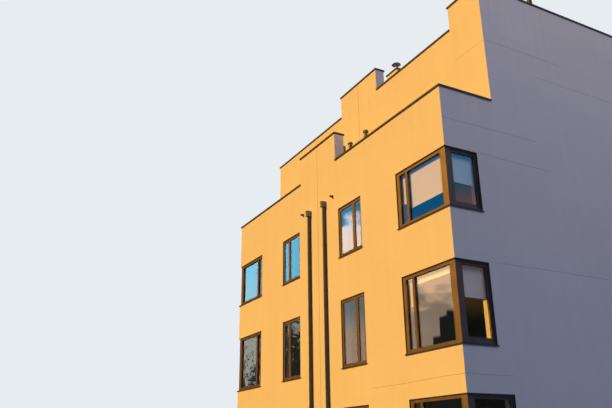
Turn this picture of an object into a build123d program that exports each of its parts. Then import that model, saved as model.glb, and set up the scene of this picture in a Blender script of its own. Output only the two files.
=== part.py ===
from build123d import *
import os

# A rendered apartment block of two mirrored units. The front faces -Y, the ground is at Z = 0 and
# the origin lies on the ground under the middle of the footprint. Lengths are in millimetres.

# Footprint and walls
front_length = 13320.0
building_depth = 11000.0
wall_thickness = 360.0
terrace_depth = 1842.0

# Floor levels, each storey measured from floor to floor
ground_floor_level = 150.0
ground_storey = 3150.0
first_storey = 3150.0
second_storey = 3100.0
top_storey = 3250.0
floor_thickness = 260.0
roof_thickness = 320.0

# Parapets, measured from the slab that they stand around
terrace_parapet_height = 1270.0
terrace_step_height = 1020.0
roof_parapet_height = 1200.0
roof_step_height = 880.0
roof_corner_height = 820.0
step_width = 2440.0
roof_corner_width = 1363.0

# Folded metal copings
coping_overhang = 30.0
coping_plate = 8.0
coping_lip = 52.0
coping_lip_thickness = 10.0

# Window and door openings
tall_window_height = 2040.0
short_window_height = 1650.0
low_sill = 690.0
high_sill = 930.0
corner_window_length = 2167.0
corner_window_return = 1091.0
ground_window_return = 1450.0
small_window_width = 1330.0
small_window_start = 1330.0
rear_window_gap = 900.0
rear_pier = 580.0
terrace_door_width = 1800.0
terrace_door_height = 2250.0
terrace_door_inset = 950.0

# Window and door frames
frame_depth = 80.0
frame_face = 100.0
mullion_face = 110.0
small_jamb_face = 85.0
small_mullion_face = 135.0
small_narrow_pane = 315.0
entrance_narrow_pane = 180.0
corner_jamb_face = 135.0
corner_mullion_face = 88.0
corner_narrow_pane = 270.0
post_face = 245.0
gable_jamb_face = 105.0
gable_head_face = 120.0
gable_foot_face = 165.0
corner_recess = 35.0
window_recess = 35.0
lining_thickness = 10.0
sash_face = 65.0
sash_step = 12.0
glass_thickness = 24.0
corner_glass_setback = 46.0
window_glass_setback = 20.0
glass_bite = 12.0
transom_height = 2130.0
threshold_height = 30.0
door_thickness = 56.0
handle_length = 600.0
handle_bar = 26.0
handle_standoff = 45.0

# Metal sills
sill_projection = 30.0
sill_plate = 14.0
sill_fall = 6.0
sill_nose = 22.0
sill_nose_thickness = 8.0
sill_ear = 22.0

# Roller blinds behind the right unit's corner windows. Each drop is measured from the head of the
# opening to the foot of the cloth, for the narrow, the wide and the gable light.
lower_blind_drops = (835.0, 285.0, 910.0)
upper_blind_drops = (960.0, 1160.0, 920.0)
blind_clearance = 45.0
blind_lap = 25.0
cloth_thickness = 4.0
hem_height = 25.0
hem_thickness = 12.0
roller_radius = 22.0
roller_drop = 30.0
roller_plate = 4.0

# Rainwater goods
pipe_offset = 520.0
pipe_radius = 55.0
pipe_gap = 10.0
collar_radius = 60.0
collar_height = 70.0
collar_spacing = 3000.0
collar_clear = 500.0
bracket_height = 30.0
bracket_width = 36.0
bracket_sides = 12
bracket_inset = 500.0
hopper_width = 118.0
hopper_depth = 156.0
hopper_height = 185.0
hopper_top_drop = 20.0
hopper_rim = 14.0
hopper_rim_height = 20.0
spout_offset = 1020.0
spout_rise = 10.0
spout_radius = 35.0
spout_bore = 30.0
spout_length = 105.0
spout_flange = 52.0
spout_flange_thickness = 6.0

# Vent pipes, chimney and flues
vent_radius = 65.0
vent_cap_radius = 90.0
vent_cap_height = 70.0
vent_cone_rise = 45.0
vent_cone_top_radius = 20.0
vent_height = 1930.0
vent_inset = 500.0
flat_vent_offset = 2380.0
coned_vent_offset = 1440.0
small_vent_offset = 1060.0
small_vent_radius = 40.0
chimney_width = 680.0
chimney_depth = 500.0
chimney_setback = 3500.0
chimney_height = 3080.0
cowl_radius = 185.0
cowl_rise = 85.0
cowl_sides = 32
cowl_ring_shares = (1.0, 0.8, 0.5, 0.2)
cowl_stem_radius = 45.0
cowl_stem_height = 385.0
cowl_flange_radius = 110.0
cowl_flange_height = 20.0
flue_radius = 80.0
flue_cap_radius = 120.0
flue_cap_height = 90.0
flue_height = 3100.0
flue_offset = 6060.0
flue_setback = 4750.0

# Places worked out from the sizes above
end_x = front_length / 2
inner_x = end_x - wall_thickness
front_y = -building_depth / 2
rear_y = building_depth / 2
set_back_y = front_y + terrace_depth
first_level = ground_floor_level + ground_storey
second_level = first_level + first_storey
terrace_level = second_level + second_storey
roof_level = terrace_level + top_storey
terrace_top = terrace_level + terrace_parapet_height
terrace_step_top = terrace_top + terrace_step_height
roof_top = roof_level + roof_parapet_height
roof_step_top = roof_top + roof_step_height
roof_corner_top = roof_top + roof_corner_height
small_window_end = small_window_start + small_window_width
rear_window_start = small_window_end + rear_pier
rear_window_end = inner_x - rear_window_gap
terrace_door_end = inner_x - terrace_door_inset
terrace_door_start = terrace_door_end - terrace_door_width

# Sill and head of each window row
ground_row = (ground_floor_level + low_sill, ground_floor_level + low_sill + tall_window_height)
lower_row = (first_level + low_sill, first_level + low_sill + tall_window_height)
upper_row = (second_level + high_sill, second_level + high_sill + short_window_height)
top_row = (terrace_level + low_sill, terrace_level + low_sill + short_window_height)
door_row = (ground_floor_level, ground_row[1])
terrace_door_row = (terrace_level, terrace_level + terrace_door_height)


def block(x0, x1, y0, y1, z0, z1):
    """A box between two corners."""
    middle = Pos((x0 + x1) / 2, (y0 + y1) / 2, (z0 + z1) / 2)
    return middle * Box(x1 - x0, y1 - y0, z1 - z0)


def rod(x, y, z0, z1, radius):
    """An upright round bar."""
    return Pos(x, y, (z0 + z1) / 2) * Cylinder(radius, z1 - z0)


def flat_face(corners):
    """The flat face inside a closed line of corners."""
    return Face(Wire.make_polygon(corners, close=True))


def mirrored(shapes):
    """The left unit's copies of the right unit's pieces."""
    return [mirror(shape, Plane.YZ) for shape in shapes]


def turned(shapes):
    """Pieces made for the front face, turned to the rear face."""
    return [Rot(0, 0, 180) * shape for shape in shapes]


def both_units(shapes):
    """The right unit's pieces with their mirror images."""
    return shapes + mirrored(shapes)


def write(name, shapes):
    """One node: every solid of the given shapes."""
    solids = [solid for shape in shapes for solid in shape.solids()]
    node = solids[0] if len(solids) == 1 else Compound(solids)
    export_step(node, f"parts/{name}.step")


# Walls

def stepped_wall(outline, y0):
    """A wall along X whose outline in X and Z is extruded through its thickness."""
    face = flat_face([Vector(x, y0, z) for x, z in outline])
    return extrude(face, amount=wall_thickness, dir=(0, 1, 0))


def side_wall(outline, x0):
    """A wall along Y whose outline in Y and Z is extruded through its thickness."""
    face = flat_face([Vector(x0, y, z) for y, z in outline])
    return extrude(face, amount=wall_thickness, dir=(1, 0, 0))


def through_front(x0, x1, row, face_y=front_y):
    """The hole for a window or door in a wall along X."""
    return block(x0, x1, face_y, face_y + wall_thickness, row[0], row[1])


def front_wall():
    """The front up to the terrace parapet, raised over its middle, with its openings cut."""
    low = terrace_top - coping_plate
    high = terrace_step_top - coping_plate
    half_step = step_width / 2
    outline = [
        (-end_x, 0), (end_x, 0), (end_x, low), (half_step, low),
        (half_step, high), (-half_step, high), (-half_step, low), (-end_x, low),
    ]
    wall = stepped_wall(outline, front_y)
    corner_start = end_x - corner_window_length
    holes = [through_front(corner_start, end_x, row) for row in (ground_row, lower_row, upper_row)]
    holes += [
        through_front(small_window_start, small_window_end, row)
        for row in (door_row, lower_row, upper_row)
    ]
    for hole in both_units(holes):
        wall -= hole
    return wall


def gable_wall(parapet_top):
    """The right end wall: terrace parapet first, then the full height behind the set-back front."""
    low = terrace_top - coping_plate
    high = parapet_top - coping_plate
    near = front_y + wall_thickness
    far = rear_y - wall_thickness
    outline = [(near, 0), (far, 0), (far, high), (set_back_y, high), (set_back_y, low), (near, low)]
    wall = side_wall(outline, inner_x)
    returns = ((ground_row, ground_window_return), (lower_row, corner_window_return),
               (upper_row, corner_window_return))
    for row, length in returns:
        wall -= block(inner_x, end_x, near, front_y + length, row[0], row[1])
    return wall


def rear_wall():
    """The rear wall, raised at the end where the high gable parapet meets it."""
    low = roof_top - coping_plate
    high = roof_corner_top - coping_plate
    corner_x = end_x - roof_corner_width
    outline = [(-end_x, 0), (end_x, 0), (end_x, high), (corner_x, high), (corner_x, low), (-end_x, low)]
    wall = stepped_wall(outline, rear_y - wall_thickness)
    holes = []
    for row in (ground_row, lower_row, upper_row, top_row):
        holes.append(through_front(rear_window_start, rear_window_end, row))
        holes.append(through_front(small_window_start, small_window_end, row))
    for hole in turned(both_units(holes)):
        wall -= hole
    return wall


def set_back_wall():
    """The top storey's front, raised at its middle and at the right corner."""
    low = roof_top - coping_plate
    high = roof_step_top - coping_plate
    corner = roof_corner_top - coping_plate
    half_step = step_width / 2
    corner_x = end_x - roof_corner_width
    outline = [
        (-inner_x, terrace_level), (inner_x, terrace_level), (inner_x, corner), (corner_x, corner),
        (corner_x, low), (half_step, low), (half_step, high), (-half_step, high),
        (-half_step, low), (-inner_x, low),
    ]
    wall = stepped_wall(outline, set_back_y)
    door = through_front(terrace_door_start, terrace_door_end, terrace_door_row, set_back_y)
    for hole in both_units([door]):
        wall -= hole
    return wall


# Floors and roofs

def slab(top, thickness, y0):
    """A floor between the walls, with its top at the given level."""
    return block(-inner_x, inner_x, y0, rear_y - wall_thickness, top - thickness, top)


# Copings

def coping(runs, top, keep_out=()):
    """A folded metal cap over wall tops: a plate with a lip turned down on every free side."""
    bottom = top - coping_lip
    gap = coping_overhang - coping_lip_thickness
    cap = None
    for x0, x1, y0, y1 in runs:
        piece = block(x0 - coping_overhang, x1 + coping_overhang,
                      y0 - coping_overhang, y1 + coping_overhang, bottom, top)
        cap = piece if cap is None else cap + piece
    for x0, x1, y0, y1 in runs:
        cap -= block(x0 - gap, x1 + gap, y0 - gap, y1 + gap, bottom, top - coping_plate)
    for zone in keep_out:
        cap -= zone
    return cap


def step_zone():
    """Where the raised middle stands, so that lower copings stop against it."""
    return block(-step_width / 2, step_width / 2, 2 * front_y, 0, 0, 2 * roof_top)


def corner_zone():
    """Where the raised right corner stands."""
    return block(end_x - roof_corner_width, 2 * end_x, 2 * front_y, 2 * rear_y, 0, 2 * roof_top)


def behind_terrace():
    """Everything behind the set-back front."""
    return block(-2 * end_x, 2 * end_x, set_back_y, 2 * rear_y, 0, 2 * roof_top)


def terrace_coping():
    runs = [
        (-end_x, end_x, front_y, front_y + wall_thickness),
        (-end_x, -inner_x, front_y, set_back_y),
        (inner_x, end_x, front_y, set_back_y),
    ]
    return coping(runs, terrace_top, [step_zone(), behind_terrace()])


def roof_coping():
    runs = [
        (-end_x, end_x, set_back_y, set_back_y + wall_thickness),
        (-end_x, -inner_x, set_back_y, rear_y),
        (-end_x, end_x, rear_y - wall_thickness, rear_y),
    ]
    return coping(runs, roof_top, [step_zone(), corner_zone()])


def roof_corner_coping():
    corner_x = end_x - roof_corner_width
    runs = [
        (corner_x, end_x, set_back_y, set_back_y + wall_thickness),
        (inner_x, end_x, set_back_y, rear_y),
        (corner_x, end_x, rear_y - wall_thickness, rear_y),
    ]
    return coping(runs, roof_corner_top)


def step_coping(face_y, top):
    return coping([(-step_width / 2, step_width / 2, face_y, face_y + wall_thickness)], top)


# Window frames and glass

def pane_glass(x0, x1, z0, z1, glass_y):
    """A sealed glass unit, held in the groove round its pane."""
    return block(x0 - glass_bite, x1 + glass_bite, glass_y, glass_y + glass_thickness,
                 z0 - glass_bite, z1 + glass_bite)


def flat_frame(x0, x1, row, face_y, panes):
    """A frame set back in a wall, with the metal lining of its reveal and its panes cut out."""
    frame_y = face_y + window_recess
    frame = block(x0, x1, frame_y, frame_y + frame_depth, row[0], row[1])
    frame += block(x0, x1, face_y, frame_y, row[0], row[1])
    frame -= block(x0 + lining_thickness, x1 - lining_thickness, face_y, frame_y,
                   row[0], row[1] - lining_thickness)
    for pane in panes:
        frame -= block(pane[0], pane[1], frame_y, frame_y + frame_depth, pane[2], pane[3])
        frame -= pane_glass(*pane, frame_y + window_glass_setback)
    return frame


def flat_glass(face_y, panes):
    glass_y = face_y + window_recess + window_glass_setback
    return [pane_glass(*pane, glass_y) for pane in panes]


def two_light_panes(x0, x1, row, narrow_width=small_narrow_pane, mullion=small_mullion_face):
    """A wide light, then a narrow one on the side away from the party line."""
    z0 = row[0] + frame_face
    z1 = row[1] - frame_face
    narrow_x = x1 - small_jamb_face - narrow_width
    wide = (x0 + small_jamb_face, narrow_x - mullion, z0, z1)
    narrow = (narrow_x, x1 - small_jamb_face, z0, z1)
    return [wide, narrow]


def entrance_panes(x0, x1, row):
    """The two lights above the transom and the narrow light beside the door leaf."""
    wide, narrow = two_light_panes(x0, x1, row, entrance_narrow_pane, mullion_face)
    transom = row[0] + transom_height
    above = transom + mullion_face
    return [(*wide[:2], above, wide[3]), (*narrow[:2], above, narrow[3]),
            (*narrow[:2], row[0] + frame_face, transom)]


def entrance_leaf_space(x0, x1, row):
    """The clear space that the door leaf fills."""
    wide = two_light_panes(x0, x1, row, entrance_narrow_pane, mullion_face)[0]
    return wide[0], wide[1], row[0] + threshold_height, row[0] + transom_height


def entrance_frame():
    panes = entrance_panes(small_window_start, small_window_end, door_row)
    frame = flat_frame(small_window_start, small_window_end, door_row, front_y, panes)
    x0, x1, z0, z1 = entrance_leaf_space(small_window_start, small_window_end, door_row)
    frame_y = front_y + window_recess
    return frame - block(x0, x1, frame_y, frame_y + frame_depth, z0, z1)


def entrance_leaf():
    """A flush door leaf, level with the front of its frame."""
    x0, x1, z0, z1 = entrance_leaf_space(small_window_start, small_window_end, door_row)
    leaf_y = front_y + window_recess
    return block(x0, x1, leaf_y, leaf_y + door_thickness, z0, z1)


def entrance_handle():
    """An upright pull bar of square section on two short feet."""
    x0, x1, z0, z1 = entrance_leaf_space(small_window_start, small_window_end, door_row)
    leaf_y = front_y + window_recess
    bar_x0 = x1 - frame_face
    bar_x1 = bar_x0 + handle_bar
    back_y = leaf_y - handle_standoff
    middle = (z0 + z1) / 2
    bar = block(bar_x0, bar_x1, back_y - handle_bar, back_y, middle - handle_length / 2,
                middle + handle_length / 2)
    for side in (-1, 1):
        foot_z = middle + side * handle_length / 3
        bar += block(bar_x0, bar_x1, back_y, leaf_y, foot_z - handle_bar / 2, foot_z + handle_bar / 2)
    return bar


def terrace_door_panes():
    """Two glazed leaves with a meeting post between them."""
    middle = (terrace_door_start + terrace_door_end) / 2
    z0 = terrace_door_row[0] + frame_face
    z1 = terrace_door_row[1] - frame_face
    left = (terrace_door_start + frame_face, middle - mullion_face / 2, z0, z1)
    right = (middle + mullion_face / 2, terrace_door_end - frame_face, z0, z1)
    return [left, right]


def rear_panes(row):
    """Two equal lights in a wide rear window."""
    middle = (rear_window_start + rear_window_end) / 2
    z0 = row[0] + frame_face
    z1 = row[1] - frame_face
    return [(rear_window_start + frame_face, middle - mullion_face / 2, z0, z1),
            (middle + mullion_face / 2, rear_window_end - frame_face, z0, z1)]


def corner_front_panes(row):
    """The narrow and the wide light on the front leg of a corner window."""
    z0 = row[0] + frame_face
    z1 = row[1] - frame_face
    narrow_x = end_x - corner_window_length + corner_jamb_face
    wide_x = narrow_x + corner_narrow_pane + corner_mullion_face
    return [(narrow_x, narrow_x + corner_narrow_pane, z0, z1), (wide_x, end_x - post_face, z0, z1)]


def corner_side_pane(row, length):
    """The light on the gable leg, given as if the gable were a front, with Y in place of X."""
    return (front_y + post_face, front_y + length - gable_jamb_face,
            row[0] + gable_foot_face, row[1] - gable_head_face)


def gable_copy(y0, y1, depth0, depth1, z0, z1):
    """A box on the right gable, with its depths measured inwards from the outer face."""
    return block(end_x - depth1, end_x - depth0, y0, y1, z0, z1)


def corner_frame(row, length):
    """An L-shaped frame round the building's right front corner, with a broad corner post."""
    x0 = end_x - corner_window_length
    y1 = front_y + length
    z0, z1 = row
    recess = corner_recess
    back = recess + frame_depth
    frame = block(x0, end_x - recess, front_y + recess, front_y + back, z0, z1)
    frame += gable_copy(front_y + recess, y1, recess, back, z0, z1)
    lining = block(x0, end_x, front_y, front_y + recess, z0, z1)
    lining += gable_copy(front_y, y1, 0, recess, z0, z1)
    space = block(x0 + lining_thickness, end_x, front_y, front_y + recess, z0, z1 - lining_thickness)
    space += gable_copy(front_y, y1 - lining_thickness, 0, recess, z0, z1 - lining_thickness)
    frame += lining - space
    frame_y = front_y + recess
    for pane in corner_front_panes(row):
        frame -= block(pane[0], pane[1], frame_y, frame_y + frame_depth, pane[2], pane[3])
        frame -= pane_glass(*pane, frame_y + corner_glass_setback)
    y0, y1, z0, z1 = corner_side_pane(row, length)
    frame -= gable_copy(y0, y1, recess, back, z0, z1)
    frame -= gable_copy(y0 - sash_face, y1 + sash_face, recess, recess + sash_step,
                        z0 - sash_face, z1 + sash_face)
    return frame - corner_side_glass(row, length)


def corner_side_glass(row, length):
    y0, y1, z0, z1 = corner_side_pane(row, length)
    depth = corner_recess + corner_glass_setback
    return gable_copy(y0 - glass_bite, y1 + glass_bite, depth, depth + glass_thickness,
                      z0 - glass_bite, z1 + glass_bite)


def corner_glass(row, length):
    glass_y = front_y + corner_recess + corner_glass_setback
    panes = [pane_glass(*pane, glass_y) for pane in corner_front_panes(row)]
    return panes + [corner_side_glass(row, length)]


# Metal sills

def sill_section(recess, floor_z):
    """The folded sill's section in Y and Z: a plate that falls outwards and a nose turned down."""
    nose_y = front_y - sill_projection
    outline = [
        (front_y + recess, floor_z), (front_y + recess, floor_z + sill_plate),
        (nose_y, floor_z + sill_plate - sill_fall), (nose_y, floor_z - sill_nose),
        (nose_y + sill_nose_thickness, floor_z - sill_nose), (nose_y + sill_nose_thickness, floor_z),
    ]
    return outline


def straight_sill(x0, x1, recess, floor_z, face_y=front_y):
    """A sill between the reveal linings, with its nose run on past them outside the wall."""
    section = flat_face([Vector(x0 - sill_ear, y, z) for y, z in sill_section(recess, floor_z)])
    sill = extrude(section, amount=x1 - x0 + 2 * sill_ear, dir=(1, 0, 0))
    inside = front_y + recess
    for side_x0, side_x1 in ((x0 - sill_ear, x0 + lining_thickness), (x1 - lining_thickness, x1 + sill_ear)):
        sill -= block(side_x0, side_x1, front_y, inside, floor_z, floor_z + sill_plate)
    return Pos(0, face_y - front_y, 0) * sill


def corner_sill(row, length):
    """A sill that turns the building's right corner with a mitre."""
    floor_z = row[0]
    x0 = end_x - corner_window_length - sill_ear
    y1 = front_y + length + sill_ear
    section = flat_face([Vector(x0, y, z) for y, z in sill_section(corner_recess, floor_z)])
    path = Polyline((x0, front_y, floor_z), (end_x, front_y, floor_z), (end_x, y1, floor_z))
    sill = sweep(section, path=path, transition=Transition.RIGHT)
    inner = x0 + sill_ear + lining_thickness
    sill -= block(x0, inner, front_y, front_y + corner_recess, floor_z, floor_z + sill_plate)
    inner = y1 - sill_ear - lining_thickness
    sill -= gable_copy(inner, y1, 0, corner_recess, floor_z, floor_z + sill_plate)
    return sill


# Roller blinds

def blind_places(row, length):
    """The start and the width of the blind behind each light of a corner window."""
    depth = corner_recess + frame_depth + blind_clearance
    narrow, wide = corner_front_panes(row)
    side = corner_side_pane(row, length)
    places = [(Pos(pane[0] - blind_lap, front_y + depth, row[1]), pane[1] - pane[0] + 2 * blind_lap)
              for pane in (narrow, wide)]
    on_gable = Pos(end_x - depth, side[0] - blind_lap, row[1]) * Rot(0, 0, 90)
    places.append((on_gable, side[1] - side[0] + 2 * blind_lap))
    return places


def blind_cloth(width, drop):
    """A cloth that hangs from the front of its roller, with a bar sewn into its foot."""
    cloth = block(0, width, 0, cloth_thickness, hem_height - drop, -roller_drop)
    swell = (hem_thickness - cloth_thickness) / 2
    return cloth + block(0, width, -swell, cloth_thickness + swell, -drop, hem_height - drop)


def blind_roller(width):
    """A tube between two plates that hang from the head of the opening."""
    axis_y = cloth_thickness + roller_radius
    roller = Pos(width / 2, axis_y, -roller_drop) * Rot(0, 90, 0) * Cylinder(roller_radius, width)
    for x0 in (-roller_plate, width):
        roller += block(x0, x0 + roller_plate, cloth_thickness, axis_y + roller_radius,
                        -roller_drop - roller_radius, 0)
    return roller


# Rainwater goods

pipe_y = front_y - pipe_gap - pipe_radius
hopper_top = terrace_level - hopper_top_drop
hopper_bottom = hopper_top - hopper_height


def downpipe():
    """A round pipe with socket collars, held to the wall by ring brackets."""
    pipe = rod(pipe_offset, pipe_y, 0, hopper_bottom, pipe_radius)
    for i in range(1, int(hopper_bottom // collar_spacing) + 1):
        z = i * collar_spacing
        if z + collar_height + collar_clear < hopper_bottom:
            pipe += rod(pipe_offset, pipe_y, z, z + collar_height, collar_radius)
    return pipe


def pipe_brackets():
    """Straps folded round the pipe in short flats, each on an arm from the wall."""
    place = Pos(pipe_offset, pipe_y, 0)
    outer = place * RegularPolygon(collar_radius, bracket_sides, major_radius=False)
    arm = block(pipe_offset - bracket_width / 2, pipe_offset + bracket_width / 2,
                pipe_y, front_y, 0, bracket_height)
    inner = place * RegularPolygon(pipe_radius, bracket_sides, major_radius=False)
    strap = extrude(outer, bracket_height) + arm - extrude(inner, bracket_height)
    spacing = collar_spacing / 2
    count = int((hopper_bottom - 2 * bracket_inset) // spacing) + 1
    return [Pos(0, 0, bracket_inset + i * spacing) * strap for i in range(count)]


def hopper():
    """A rainwater box with a rim round its top and its foot, flat against the wall."""
    half = hopper_width / 2
    near_y = front_y - hopper_depth
    box = block(pipe_offset - half, pipe_offset + half, near_y, front_y, hopper_bottom, hopper_top)
    for z0 in (hopper_bottom, hopper_top - hopper_rim_height):
        box += block(pipe_offset - half - hopper_rim, pipe_offset + half + hopper_rim,
                     near_y - hopper_rim, front_y, z0, z0 + hopper_rim_height)
    return box


def overflow_spout():
    """A short pipe through a flange on the wall face."""
    z = terrace_level + spout_rise
    place = Pos(spout_offset, front_y, z) * Rot(90, 0, 0)
    align = (Align.CENTER, Align.CENTER, Align.MIN)
    spout = place * Cylinder(spout_radius, spout_length, align=align)
    spout += place * Cylinder(spout_flange, spout_flange_thickness, align=align)
    return spout - place * Cylinder(spout_bore, spout_length, align=align)


# Vents, chimney and flues

def capped_pipe(x, y, base, top, radius, cap_radius, cap_height):
    """An upright pipe under a wider flat cap."""
    return rod(x, y, base, top - cap_height, radius) + rod(x, y, top - cap_height, top, cap_radius)


vent_y = front_y + vent_inset
vent_top = terrace_level + vent_height


def coned_vent():
    """A vent pipe whose cap rises in a low cone."""
    cap_top = vent_top - vent_cone_rise
    vent = capped_pipe(coned_vent_offset, vent_y, terrace_level, cap_top, vent_radius,
                       vent_cap_radius, vent_cap_height - vent_cone_rise)
    cone = Cone(vent_cap_radius, vent_cone_top_radius, vent_cone_rise)
    return vent + Pos(coned_vent_offset, vent_y, (cap_top + vent_top) / 2) * cone


def terrace_vents():
    """The vent pipes that stand behind the right unit's terrace parapet."""
    flat = capped_pipe(flat_vent_offset, vent_y, terrace_level, vent_top, vent_radius,
                       vent_cap_radius, vent_cap_height)
    small = rod(small_vent_offset, vent_y, terrace_level, vent_top, small_vent_radius)
    return [flat, coned_vent(), small]


chimney_y = front_y + chimney_setback
chimney_top = roof_level + chimney_height


def chimney():
    """The rendered stack on the party line."""
    return block(-chimney_width / 2, chimney_width / 2, chimney_y, chimney_y + chimney_depth,
                 roof_level, chimney_top - coping_plate)


def chimney_coping():
    run = (-chimney_width / 2, chimney_width / 2, chimney_y, chimney_y + chimney_depth)
    return coping([run], chimney_top)


def cowl_ring(share, side):
    """The corners of one ring of the cowl's head, at a height that follows a parabola."""
    corner = Vector(cowl_radius * share, 0, side * cowl_rise * (1 - share ** 2))
    return [corner.rotate(Axis.Z, 360 * i / cowl_sides) for i in range(cowl_sides)]


def cowl_head():
    """A lens of flat faces between rings of corners, closed at its foot and its top."""
    rings = [cowl_ring(share, -1) for share in reversed(cowl_ring_shares)]
    rings += [cowl_ring(share, 1) for share in cowl_ring_shares[1:]]
    faces = [flat_face(rings[0]), flat_face(rings[-1])]
    for low, high in zip(rings, rings[1:]):
        for i in range(cowl_sides):
            j = (i + 1) % cowl_sides
            faces.append(flat_face([low[i], low[j], high[j], high[i]]))
    return Solid(Shell(faces))


def chimney_cowl():
    """A flanged stem under a lens-shaped ventilator head."""
    y = chimney_y + chimney_depth / 2
    middle = chimney_top + cowl_stem_height
    cowl = rod(0, y, chimney_top, chimney_top + cowl_flange_height, cowl_flange_radius)
    cowl += rod(0, y, chimney_top, middle, cowl_stem_radius)
    return cowl + Pos(0, y, middle) * cowl_head()


def flue():
    """A round flue with a cap, standing on the roof behind the gable parapet."""
    return capped_pipe(flue_offset, front_y + flue_setback, roof_level, roof_level + flue_height,
                       flue_radius, flue_cap_radius, flue_cap_height)


# Every node is written here

def write_structure():
    write("front_wall", [front_wall()])
    write("rear_wall", [rear_wall()])
    write("right_gable_wall", [gable_wall(roof_corner_top)])
    write("left_gable_wall", mirrored([gable_wall(roof_top)]))
    write("set_back_wall", [set_back_wall()])
    inside_y = front_y + wall_thickness
    write("ground_slab", [slab(ground_floor_level, ground_floor_level, inside_y)])
    write("first_floor_slab", [slab(first_level, floor_thickness, inside_y)])
    write("second_floor_slab", [slab(second_level, floor_thickness, inside_y)])
    write("terrace_slab", [slab(terrace_level, roof_thickness, inside_y)])
    write("roof_slab", [slab(roof_level, roof_thickness, set_back_y + wall_thickness)])


def write_copings():
    write("terrace_coping", [terrace_coping()])
    write("roof_coping", [roof_coping()])
    write("roof_corner_coping", [roof_corner_coping()])
    write("terrace_step_coping", [step_coping(front_y, terrace_step_top)])
    write("roof_step_coping", [step_coping(set_back_y, roof_step_top)])


def write_corner_windows():
    ground = corner_frame(ground_row, ground_window_return)
    lower = corner_frame(lower_row, corner_window_return)
    upper = corner_frame(upper_row, corner_window_return)
    write("ground_corner_windows", both_units([ground]))
    write("lower_corner_window_right", [lower])
    write("lower_corner_window_left", mirrored([lower]))
    write("upper_corner_window_right", [upper])
    write("upper_corner_window_left", mirrored([upper]))


def write_flat_windows():
    """The small front windows, the rear windows, and the doors."""
    for name, row in (("lower", lower_row), ("upper", upper_row)):
        panes = two_light_panes(small_window_start, small_window_end, row)
        frame = flat_frame(small_window_start, small_window_end, row, front_y, panes)
        write(f"{name}_window_right", [frame])
        write(f"{name}_window_left", mirrored([frame]))
    for name, row in (("ground", ground_row), ("lower", lower_row), ("upper", upper_row),
                      ("top", top_row)):
        small = flat_frame(small_window_start, small_window_end, row, front_y,
                           two_light_panes(small_window_start, small_window_end, row))
        wide = flat_frame(rear_window_start, rear_window_end, row, front_y, rear_panes(row))
        write(f"{name}_rear_windows", turned(both_units([small, wide])))
    write("entrance_frames", both_units([entrance_frame()]))
    write("entrance_doors", both_units([entrance_leaf()]))
    write("entrance_handles", both_units([entrance_handle()]))
    doors = flat_frame(terrace_door_start, terrace_door_end, terrace_door_row, set_back_y,
                       terrace_door_panes())
    write("terrace_door_frames", both_units([doors]))


def rear_glass(row):
    panes = two_light_panes(small_window_start, small_window_end, row) + rear_panes(row)
    return turned(flat_glass(front_y, panes))


def write_glass():
    """One node for each storey's glass, front and rear."""
    entrance = entrance_panes(small_window_start, small_window_end, door_row)
    ground = corner_glass(ground_row, ground_window_return) + flat_glass(front_y, entrance)
    write("ground_glass", both_units(ground + rear_glass(ground_row)))
    for name, row in (("lower", lower_row), ("upper", upper_row)):
        small = two_light_panes(small_window_start, small_window_end, row)
        panes = corner_glass(row, corner_window_return) + flat_glass(front_y, small)
        write(f"{name}_glass", both_units(panes + rear_glass(row)))
    top = flat_glass(set_back_y, terrace_door_panes())
    write("top_glass", both_units(top + rear_glass(top_row)))


def write_sills():
    """One node for each storey's front sills, and one for the rear sills."""
    small = (small_window_start, small_window_end, window_recess)
    wide = (rear_window_start, rear_window_end, window_recess)
    ground = corner_sill(ground_row, ground_window_return)
    write("ground_sills", both_units([ground]))
    for name, row in (("lower", lower_row), ("upper", upper_row)):
        corner = corner_sill(row, corner_window_return)
        write(f"{name}_sills", both_units([corner, straight_sill(*small, row[0])]))
    rear = []
    for row in (ground_row, lower_row, upper_row, top_row):
        rear += [straight_sill(*small, row[0]), straight_sill(*wide, row[0])]
    write("rear_sills", turned(both_units(rear)))


def write_blinds():
    """The blinds of the right unit's two corner windows."""
    cloths = []
    rollers = []
    for row, drops in ((lower_row, lower_blind_drops), (upper_row, upper_blind_drops)):
        for (place, width), drop in zip(blind_places(row, corner_window_return), drops):
            cloths.append(place * blind_cloth(width, drop))
            rollers.append(place * blind_roller(width))
    write("blind_cloths", cloths)
    write("blind_rollers", rollers)


def write_rainwater_goods():
    for side, place in (("right", list), ("left", mirrored)):
        write(f"downpipe_{side}", place([downpipe()]))
        write(f"hopper_{side}", place([hopper()]))
    write("pipe_brackets", both_units(pipe_brackets()))
    write("overflow_spouts", both_units([overflow_spout()]))


def write_roof_fittings():
    write("terrace_vents", terrace_vents())
    write("chimney", [chimney()])
    write("chimney_coping", [chimney_coping()])
    write("chimney_cowl", [chimney_cowl()])
    write("roof_flues", both_units([flue()]))


os.makedirs("parts", exist_ok=True)
write_structure()
write_copings()
write_corner_windows()
write_flat_windows()
write_glass()
write_sills()
write_blinds()
write_rainwater_goods()
write_roof_fittings()
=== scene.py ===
import math

import bmesh
import bpy
import numpy as np
from mathutils import Matrix, Vector


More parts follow.
